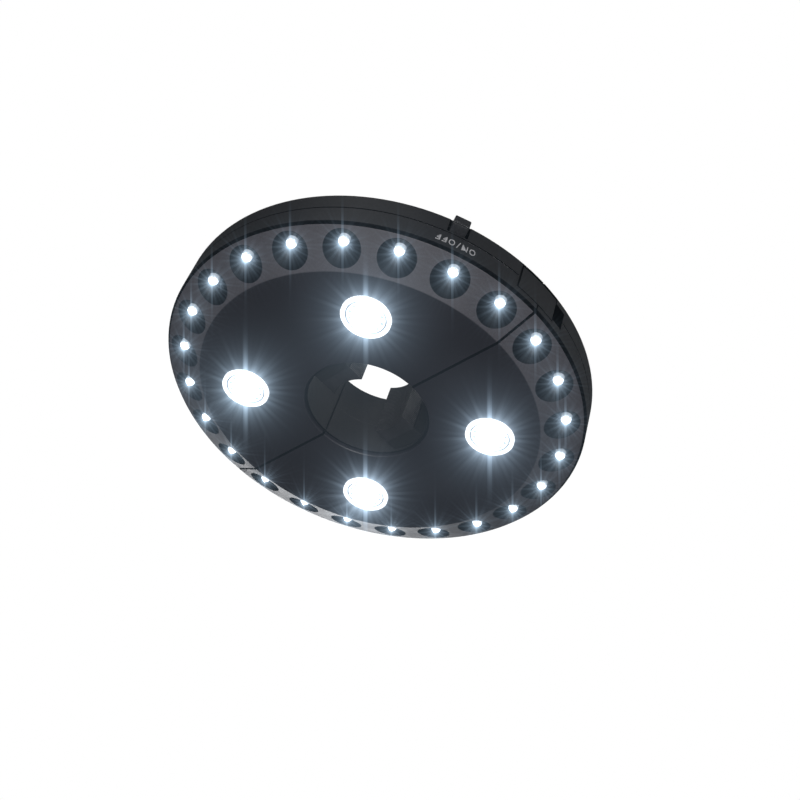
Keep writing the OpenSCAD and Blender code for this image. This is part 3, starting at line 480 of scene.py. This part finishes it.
def cell_material(outer_row):
    """Blue sleeve between bright ends; the nub end is longer and changes sides with the row."""
    n = Nodes("cell_outer" if outer_row else "cell_inner")
    x = n.xyz()[0]
    lo, hi = (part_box("battery_2" if outer_row else "battery_1")[i][0] for i in (0, 1))

    def bare_from(edge):
        return n.ramp(x, edge + END_FADE, edge - END_FADE, 1, 0)

    def bare_to(edge):
        return n.ramp(x, edge + END_FADE, edge - END_FADE, 0, 1)

    if outer_row:
        ends = n.math("MAXIMUM", bare_to(lo + BARE_NUB), bare_from(hi - BARE_BASE))
    else:
        ends = n.math("MAXIMUM", bare_from(hi - BARE_NUB), bare_to(lo + BARE_BASE))
    sleeve = n.mix(n.noise(9 * MM), (0.008, 0.022, 0.16, 1), (0.012, 0.032, 0.21, 1))
    n.put(
        Base_Color=n.mix(ends, sleeve, (0.72, 0.73, 0.75, 1)),
        Metallic=n.ramp(ends, 0, 1, 0.35, 1),
        Roughness=n.uneven(2 * MM, 0.22, 0.34),
        Normal=n.bump(n.noise(0.5 * MM), 0.01 * MM),
    )
    return n.mat


def wear(material, *names):
    for name in names:
        for slot in nodes[name].material_slots:
            slot.material = material


def both(*stems):
    return [f"{stem}_{side}" for stem in stems for side in "ab"]


def four(stem):
    return [f"{stem}_{i}" for i in (1, 2, 3, 4)]


SPRING_STEEL = ((0.7, 0.7, 0.72, 1), 0.25)
PLATED_STEEL = ((0.56, 0.56, 0.58, 1), 0.3)

wear(case_material(), *both("lower_shell", "upper_shell"), "latch_lever")
wear(
    moulded("door_plastic", grey(0.024, 0.1), grey(0.1, 0.08), 0.44).mat, *both("battery_door")
)
wear(moulded("button_plastic", grey(0.03, 0.1), grey(0.12, 0.08), 0.36).mat, "power_button")
wear(moulded("hook_plastic", grey(0.022, 0.05), grey(0.09, 0.05), 0.38).mat, *both("hook"))
wear(
    moulded("jaw_plastic", grey(0.014, 0.08), grey(0.04, 0.06), 0.45, rub=0.2).mat,
    *both("jaw_slide"),
)
wear(face_material(), *both("face_panel"))
wear(rubber_material(), *both("jaw_shoe"))
wear(bulb_material(), *both("rim_leds"))
wear(lit("lens_light", (0.92, 0.96, 1.0, 1), 0.85), *four("big_lens"))
wear(metal("reflector_film", (0.86, 0.87, 0.9, 1), 0.12), *four("reflector"))
wear(board_material(), *both("led_ring_board"), *four("light_board"), "control_board")
wear(lit("phosphor", (1.0, 0.93, 0.55, 1), 1), *both("power_leds"))
wear(cell_material(False), "battery_1", "battery_3")
wear(cell_material(True), "battery_2", "battery_4")
wear(
    metal("spring_wire", *SPRING_STEEL),
    *both("battery_springs", "jaw_springs", "battery_contacts"),
)
wear(
    metal("plated_steel", *PLATED_STEEL),
    *both("shell_screws", "hook_pin"), "hinge_pin", "latch_pin",
)
wear(
    moulded("switch_plastic", grey(0.02), grey(0.06), 0.3).mat, "switch_plunger", "tact_switch"
)

# ---------- added pieces ----------


def piece(name, bm, material, body=None):
    mesh = bpy.data.meshes.new(name)
    bmesh.ops.recalc_face_normals(bm, faces=bm.faces)
    bm.to_mesh(mesh)
    bm.free()
    obj = bpy.data.objects.new(name, mesh)
    obj.data.materials.append(material)
    bpy.context.collection.objects.link(obj)
    if body:
        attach(obj, body)
    return obj


def join(bm, low, high):
    """Faces between two closed loops of as many corners."""
    for k in range(len(low)):
        j = (k + 1) % len(low)
        bm.faces.new((low[k], low[j], high[j], high[k]))


def on_circle(steps):
    """Cosine and sine of each step round a circle."""
    turns = (2 * math.pi * k / steps for k in range(steps))
    return [(math.cos(t), math.sin(t)) for t in turns]


def dome(bm, to_place, profile, steps):
    """Low closed dome: the profile has radius and height of each ring from its rim up."""
    loops = [
        [bm.verts.new(to_place(Vector((r * c, r * s, z)))) for c, s in on_circle(steps)]
        for r, z in profile
    ]
    for low, high in zip(loops, loops[1:]):
        join(bm, low, high)
    bm.faces.new(loops[0])
    bm.faces.new(loops[-1])


# Letters as outlines in a cell one unit high; the O is given by its two rings
LETTER_STROKE = 0.13
LETTER_W = {"O": 0.8, "N": 0.76, "F": 0.58, "/": 0.44}
N_SLANT = 1.3  # height of the N's slanted stroke at its ends, in strokes
F_MIDDLE, F_MIDDLE_LENGTH = 0.46, 0.85  # place and share of width of the F's middle arm
SLASH_OVER = 0.05  # how far the slash passes the letters' height
O_SQUARENESS = 0.85  # 1 is an ellipse
O_STEPS = 28


def letter_outline(char):
    w, t = LETTER_W[char], LETTER_STROKE
    if char == "N":
        d = N_SLANT * t
        left = [(0, 0), (t, 0), (t, 1 - d)]
        right = [(w - t, 0), (w, 0), (w, 1), (w - t, 1)]
        return [*left, *right, (w - t, d), (t, 1), (0, 1)]
    if char == "F":
        m, arm = F_MIDDLE, F_MIDDLE_LENGTH * w
        middle = [(t, m), (arm, m), (arm, m + t), (t, m + t)]
        return [(0, 0), (t, 0), *middle, (t, 1 - t), (w, 1 - t), (w, 1), (0, 1)]
    low, high = -SLASH_OVER, 1 + SLASH_OVER
    return [(0, low), (t, low), (w, high), (w - t, high)]


def letter_rings():
    """Outer and inner outline of the O, as rounded upright ovals."""
    w = LETTER_W["O"]

    def bend(value):
        return math.copysign(abs(value) ** O_SQUARENESS, value)

    return [
        [
            (w / 2 + bend(c) * (w / 2 - inset), 0.5 + bend(s) * (0.5 - inset))
            for c, s in on_circle(O_STEPS)
        ]
        for inset in (0, LETTER_STROKE)
    ]


LABEL = "ON/OFF"
LABEL_H = 3.4 * MM
LABEL_TOP_Z = -6.9 * MM  # the letters' tops point to the light face
LABEL_ANGLE = math.radians(-25.0)
LABEL_GAP = 0.9 * MM
INK = 0.05 * MM  # half the thickness of the print
INK_PALE, INK_WORN = (0.56, 0.56, 0.58, 1), (0.38, 0.38, 0.4, 1)


def switch_label():
    """Printed marks by the push button, wrapped on the side wall."""
    width = sum(LETTER_W[c] for c in LABEL) * LABEL_H + LABEL_GAP * (len(LABEL) - 1)
    bm = bmesh.new()

    def corner(x, y, lift):
        a = LABEL_ANGLE - (x - width / 2) / CASE_R
        r = CASE_R + lift
        z = LABEL_TOP_Z + (1 - y) * LABEL_H
        return bm.verts.new((r * math.cos(a), r * math.sin(a), z))

    def two_levels(outline):
        """The outline below and above the wall's surface, joined by an edge."""
        low, high = (
            [corner(x0 + px * LABEL_H, py, lift) for px, py in outline] for lift in (-INK, INK)
        )
        join(bm, low, high)
        return low, high

    x0 = 0.0
    for char in LABEL:
        if char == "O":
            outer, inner = (two_levels(ring) for ring in letter_rings())
            for level in (0, 1):
                join(bm, outer[level], inner[level])
        else:
            for loop in two_levels(letter_outline(char)):
                bm.faces.new(loop)
        x0 += LETTER_W[char] * LABEL_H + LABEL_GAP
    bmesh.ops.triangulate(bm, faces=[f for f in bm.faces if len(f.verts) > 4])
    n = Nodes("label_ink")
    n.put(
        Base_Color=n.mix(n.ramp(n.noise(0.4 * MM), 0.4, 0.65), INK_PALE, INK_WORN),
        Roughness=n.uneven(0.6 * MM, 0.4, 0.6),
    )
    return piece("switch_label", bm, n.mat, "half_a")


SHADOW_LINE = (0.1 * MM, 0.75 * MM)  # inward from the ring: start and end of the dark line
SHADOW_STEPS = 64
SHADOW_ROOT = 0.1 * MM  # how deep the line starts inside the lens
SHADOW_OUT = (0.2 * MM, 0.15 * MM)  # how far it stands out, at its outer and inner edge
DOT_ROWS = ((12, 0.77, 0.8 * MM), (6, 0.45, 0.5 * MM))  # count, share of radius, size
DOT_HEIGHT = 0.2 * MM
DOT_ROOT = 0.05 * MM
DOT_PROFILE = ((1.0, 0.0), (0.8, -0.7), (0.4, -1.0))  # in radii and heights
DOT_STEPS = 10


def ring_of_quads(bm, centre, profile, steps):
    """Closed ring round an upright axis through centre: the profile has (radius, z)."""
    loops = [
        [bm.verts.new((centre[0] + r * c, centre[1] + r * s, z)) for r, z in profile]
        for c, s in on_circle(steps)
    ]
    for k in range(steps):
        join(bm, loops[k], loops[(k + 1) % steps])


def lens_details():
    """On each lit lens: the fine shadow line inside its ring and the dots of its optic."""
    n = Nodes("lens_shadow")
    n.put(
        Base_Color=n.mix(n.noise(1 * MM), (0.06, 0.045, 0.04, 1), (0.1, 0.085, 0.08, 1)),
        Roughness=n.uneven(0.5 * MM, 0.6, 0.8),
    )
    outer_r, inner_r = (LENS_INNER_R - inward for inward in SHADOW_LINE)
    root_z = LENS_FLOOR_Z + SHADOW_ROOT
    line = [
        (outer_r, root_z),
        (outer_r, LENS_FLOOR_Z - SHADOW_OUT[0]),
        (inner_r, LENS_FLOOR_Z - SHADOW_OUT[1]),
        (inner_r, root_z),
    ]
    for i, (side, angle) in LIGHTS.items():
        a = math.radians(angle)
        at = Vector((LIGHT_R * math.cos(a), LIGHT_R * math.sin(a), LENS_FLOOR_Z + DOT_ROOT))
        bm = bmesh.new()
        ring_of_quads(bm, at, line, SHADOW_STEPS)
        for count, radius, size in DOT_ROWS:
            profile = [(size * r, DOT_HEIGHT * z) for r, z in DOT_PROFILE]
            for k in range(count):
                t = a + 2 * math.pi * (k + 0.5) / count
                out = radius * LENS_INNER_R
                spot = at + Vector((out * math.cos(t), out * math.sin(t), 0))
                dome(bm, lambda corner: spot + corner, profile, DOT_STEPS)
        piece(f"lens_detail_{i}", bm, n.mat, f"half_{side}")


BULB_CORE_R = 0.7 * MM
LENS_CORE_R = 0.9 * MM
LENS_CORE_OUT = 0.25 * MM
BULB_CORE_LIGHT, LENS_CORE_LIGHT = 34, 300
CORE_PROFILE = ((1.0, 0.0), (0.85, 0.28), (0.5, 0.45))  # in radii
CORE_STEPS = 16


def hot_core(bm, place, radius):
    """Low dome that hangs with its rim on the XY plane of place."""
    down = place @ Matrix.Rotation(math.pi, 4, "X")
    profile = [(radius * r, radius * z) for r, z in CORE_PROFILE]
    dome(bm, lambda corner: down @ corner, profile, CORE_STEPS)


def hot_cores():
    """The glowing chips as they shine through lens and bulb."""
    lens_core = lit("lens_core", (0.9, 0.96, 1.0, 1), LENS_CORE_LIGHT)
    bulb_core = lit("bulb_core", (0.85, 0.94, 1.0, 1), BULB_CORE_LIGHT)
    for side in "ab":
        bm = bmesh.new()
        for half, angle in LIGHTS.values():
            if half == side:
                a = math.radians(angle)
                at = (LIGHT_R * math.cos(a), LIGHT_R * math.sin(a), LENS_FLOOR_Z - LENS_CORE_OUT)
                hot_core(bm, Matrix.Translation(at), LENS_CORE_R)
        piece(f"lens_cores_{side}", bm, lens_core, f"half_{side}")
        bm = bmesh.new()
        for k in range(LEDS // 2):
            a = (k + 0.5) * LED_STEP * (-1 if side == "a" else 1)
            out = Matrix.Translation((BULB_RING_R, 0, BULB_TIP_Z))
            hot_core(bm, Matrix.Rotation(a, 4, "Z") @ out, BULB_CORE_R)
        piece(f"bulb_cores_{side}", bm, bulb_core, f"half_{side}")


SPRING_TURNS = 8
SPRING_WIRE_R = 0.4 * MM
SPRING_STEPS = 20  # a turn
SPRING_SIDES = 8


def wound_wire(bm, centre_z, coil_r, back, front):
    """Coil spring along Y, as one swept wire with closed ends."""
    into = SPRING_WIRE_R if front > back else -SPRING_WIRE_R
    start, end = back + into, front - into
    count = SPRING_TURNS * SPRING_STEPS
    rings = []
    for k in range(count + 1):
        a = 2 * math.pi * k / SPRING_STEPS
        y = start + (end - start) * k / count
        ring = []
        for c, s in on_circle(SPRING_SIDES):
            r = coil_r + SPRING_WIRE_R * c
            at = (r * math.cos(a), y + SPRING_WIRE_R * s, centre_z + r * math.sin(a))
            ring.append(bm.verts.new(at))
        rings.append(ring)
    for low, high in zip(rings, rings[1:]):
        join(bm, low, high)
    bm.faces.new(rings[0])
    bm.faces.new(rings[-1])


def jaw_coils():
    """The two springs behind each jaw, wound in place of the part's springs, which are hidden."""
    wire = metal("spring_wire_wound", *SPRING_STEEL)
    for side in "ab":
        lo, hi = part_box(f"jaw_springs_{side}")
        back, front = (lo[1], hi[1]) if side == "a" else (hi[1], lo[1])
        half_w = (hi[0] - lo[0]) / 2
        bm = bmesh.new()
        for centre_z in (lo[2] + half_w, hi[2] - half_w):
            wound_wire(bm, centre_z, half_w - SPRING_WIRE_R, back, front)
        coils = piece(f"jaw_coils_{side}", bm, wire)
        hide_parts(f"jaw_springs_{side}")
        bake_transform(coils)


switch_label()
lens_details()
hot_cores()
jaw_coils()

# ---------- floor, light, camera ----------

FLOOR_Z = -1.3
FLOOR_R, FLOOR_STEPS = 14, 96
FLOOR_SHOWN = 0.7  # what the camera sees of the floor beside the light that falls on it
WORLD_LIGHT = 0.05


def make_floor():
    mesh = bpy.data.meshes.new("floor")
    bm = bmesh.new()
    bmesh.ops.create_circle(bm, cap_ends=True, segments=FLOOR_STEPS, radius=FLOOR_R)
    bm.to_mesh(mesh)
    bm.free()
    floor = bpy.data.objects.new("floor", mesh)
    floor.location.z = FLOOR_Z
    n = Nodes("pale_floor")
    seen = n.add("LightPath").outputs["Is Camera Ray"]
    n.put(
        Base_Color=n.mix(n.noise(0.6, 3), (0.8, 0.8, 0.8, 1), (0.84, 0.84, 0.84, 1)),
        Roughness=0.6,
        Emission_Color=(0.97, 0.98, 1.0, 1),
        Emission_Strength=n.times(seen, FLOOR_SHOWN),
    )
    mesh.materials.append(n.mat)
    bpy.context.collection.objects.link(floor)


LIGHT_TARGET = Vector((0, 0, -0.01))
WHITE = (1, 1, 1)
# name, place, diameter, watts, colour, and whether it lights the part alone
LAMPS = (
    ("backdrop", (-1.7, 1.0, 0.45), 1.2, 13, (0.97, 0.98, 1), True),
    ("front", (0.9, -0.7, -1.0), 0.9, 17, WHITE, False),
    ("above", (0.3, -0.9, 1.3), 1.0, 1, WHITE, False),
    ("top", (-0.3, 0.35, 1.6), 1.3, 40, WHITE, True),
)


def make_lamps():
    """Soft round lamps; those for the part alone keep the floor evenly pale."""
    part = bpy.data.collections.new("part")
    meshes = [obj for obj in bpy.context.scene.objects if obj.type == "MESH"]
    for obj in meshes:
        if obj.name != "floor":
            part.objects.link(obj)
    for name, at, size, power, color, part_alone in LAMPS:
        data = bpy.data.lights.new(name, "AREA")
        data.shape = "DISK"
        data.size = size
        data.energy = power
        data.color = color
        lamp = bpy.data.objects.new(name, data)
        lamp.location = at
        lamp.rotation_euler = (LIGHT_TARGET - Vector(at)).to_track_quat("-Z", "Y").to_euler()
        lamp.visible_camera = False
        bpy.context.collection.objects.link(lamp)
        if part_alone:
            lamp.light_linking.receiver_collection = part


def make_world():
    """White to the camera, faint and a little cool as light."""
    world = bpy.data.worlds.new("studio")
    world.use_nodes = True
    bpy.context.scene.world = world
    tree = world.node_tree
    out = tree.nodes["World Output"]
    seen = tree.nodes["Background"]
    seen.inputs["Color"].default_value = (1, 1, 1, 1)
    light = tree.nodes.new("ShaderNodeBackground")
    light.inputs["Color"].default_value = (0.93, 0.96, 1, 1)
    light.inputs["Strength"].default_value = WORLD_LIGHT
    path = tree.nodes.new("ShaderNodeLightPath")
    mix = tree.nodes.new("ShaderNodeMixShader")
    tree.links.new(path.outputs["Is Camera Ray"], mix.inputs[0])
    tree.links.new(light.outputs[0], mix.inputs[1])
    tree.links.new(seen.outputs[0], mix.inputs[2])
    tree.links.new(mix.outputs[0], out.inputs["Surface"])


GLARE_BLUE = (0.72, 0.86, 1.0, 1)
GLARE_FROM = 12.0  # only the hot cores are this bright
RAY_LIMIT, HAZE_LIMIT = 140.0, 300.0
# rays of each set, angle of its first in degrees, fade, strength
RAY_SETS = (
    (16, 2, 0.89, 0.1),
    (16, 9, 0.87, 0.09),
    (16, 16, 0.88, 0.09),
    (15, 5, 0.87, 0.1),
    (2, 90, 0.91, 0.14),
)
RAY_PASSES = 4
HAZE_SIZE, HAZE_STRENGTH = 0.28, 1.9


def make_glare():
    """Rays and haze round the hot cores, as a lens shows them."""
    scene = bpy.context.scene
    scene.use_nodes = True
    tree = scene.node_tree
    tree.nodes.clear()
    picture = tree.nodes.new("CompositorNodeRLayers").outputs["Image"]
    common = {"Threshold": GLARE_FROM, "Clamp": True, "Tint": GLARE_BLUE}

    def glare(kind, **inputs):
        nonlocal picture
        node = tree.nodes.new("CompositorNodeGlare")
        node.glare_type = kind
        node.quality = "HIGH"
        for key, value in (common | inputs).items():
            node.inputs[key.replace("_", " ")].default_value = value
        tree.links.new(picture, node.inputs["Image"])
        picture = node.outputs["Image"]

    for count, angle, fade, strength in RAY_SETS:
        glare(
            "STREAKS",
            Streaks=count,
            Streaks_Angle=math.radians(angle),
            Iterations=RAY_PASSES,
            Fade=fade,
            Strength=strength,
            Maximum=RAY_LIMIT,
            Color_Modulation=0.0,
        )
    glare("BLOOM", Maximum=HAZE_LIMIT, Size=HAZE_SIZE, Strength=HAZE_STRENGTH)
    tree.links.new(picture, tree.nodes.new("CompositorNodeComposite").inputs["Image"])


make_camera()
make_floor()
make_world()
make_glare()
make_lamps()
bpy.context.scene.view_settings.view_transform = "Standard"
bpy.context.scene.view_settings.look = "None"
